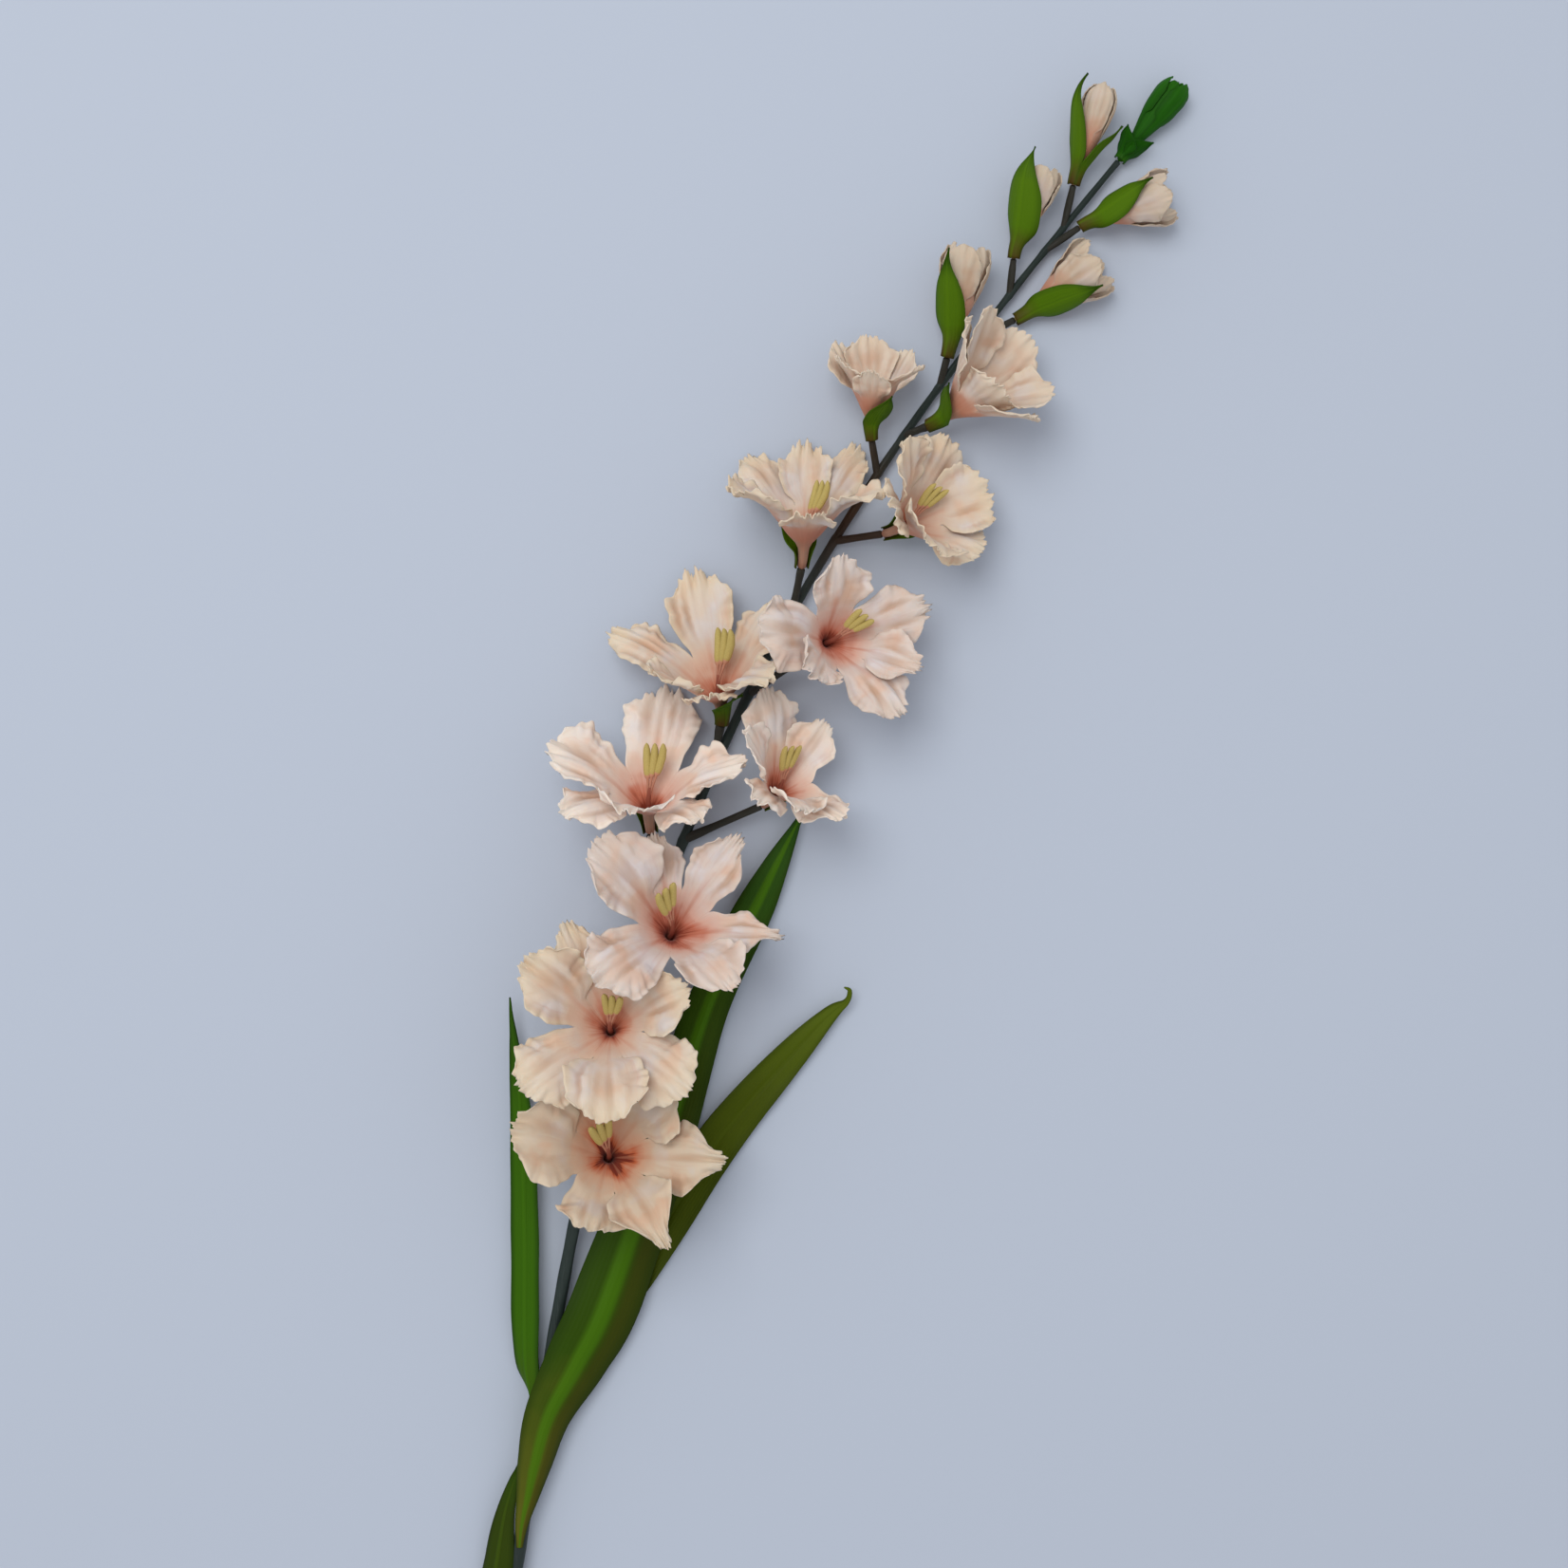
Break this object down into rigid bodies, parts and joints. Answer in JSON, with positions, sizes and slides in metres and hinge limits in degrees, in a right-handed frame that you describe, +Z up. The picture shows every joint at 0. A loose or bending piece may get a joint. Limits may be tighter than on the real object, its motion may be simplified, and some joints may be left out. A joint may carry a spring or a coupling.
{
  "type": "gladiolus stem",
  "caption": "Cut gladiolus stem with open funnel florets, buds, green bracts, a green tip and sword leaves, lying on its side.",
  "frame": {"origin": "on the surface the stem lies on, under the middle of its bounding box", "axes": "+Y along the stem from its cut end to its green tip, +Z up from the surface, towards the open mouths of the florets"},
  "size_m": [0.1972, 0.9532, 0.0806],
  "materials": {
    "stem_green": "satin",
    "leaf_green": "satin",
    "bract_green": "satin",
    "tip_green": "satin",
    "petal": "matte",
    "pollen": "matte"
  },
  "bodies": {
    "root": {"stem": "stem_green", "leaf_left": "leaf_green", "leaf_right": "leaf_green", "leaf_tall": "leaf_green", "leaf_sheath": "leaf_green", "floret_01": "petal", "floret_01_bract_1": "bract_green", "floret_01_stamens": "pollen", "floret_02": "petal", "floret_02_bract_1": "bract_green", "floret_02_stamens": "pollen", "floret_03": "petal", "floret_03_bract_1": "bract_green", "floret_03_stamens": "pollen", "floret_04": "petal", "floret_04_bract_1": "bract_green", "floret_04_stamens": "pollen", "floret_05": "petal", "floret_05_bract_1": "bract_green", "floret_05_stamens": "pollen", "floret_06": "petal", "floret_06_bract_1": "bract_green", "floret_06_stamens": "pollen", "floret_07": "petal", "floret_07_bract_1": "bract_green", "floret_07_stamens": "pollen", "floret_08": "petal", "floret_08_bract_1": "bract_green", "floret_08_stamens": "pollen", "floret_09": "petal", "floret_09_bract_1": "bract_green", "floret_09_stamens": "pollen", "floret_10": "petal", "floret_10_bract_1": "bract_green", "floret_11": "petal", "floret_11_bract_1": "bract_green", "bud_12": "petal", "bud_12_bract_1": "bract_green", "bud_13": "petal", "bud_13_bract_1": "bract_green", "bud_14": "petal", "bud_14_bract_1": "bract_green", "bud_15": "petal", "bud_15_bract_1": "bract_green", "bud_16": "petal", "bud_16_bract_1": "bract_green", "bud_16_bract_2": "bract_green", "tip_bud": "tip_green", "tip_bud_bract_1": "bract_green", "tip_bud_bract_2": "bract_green"}
  },
  "joints": []
}
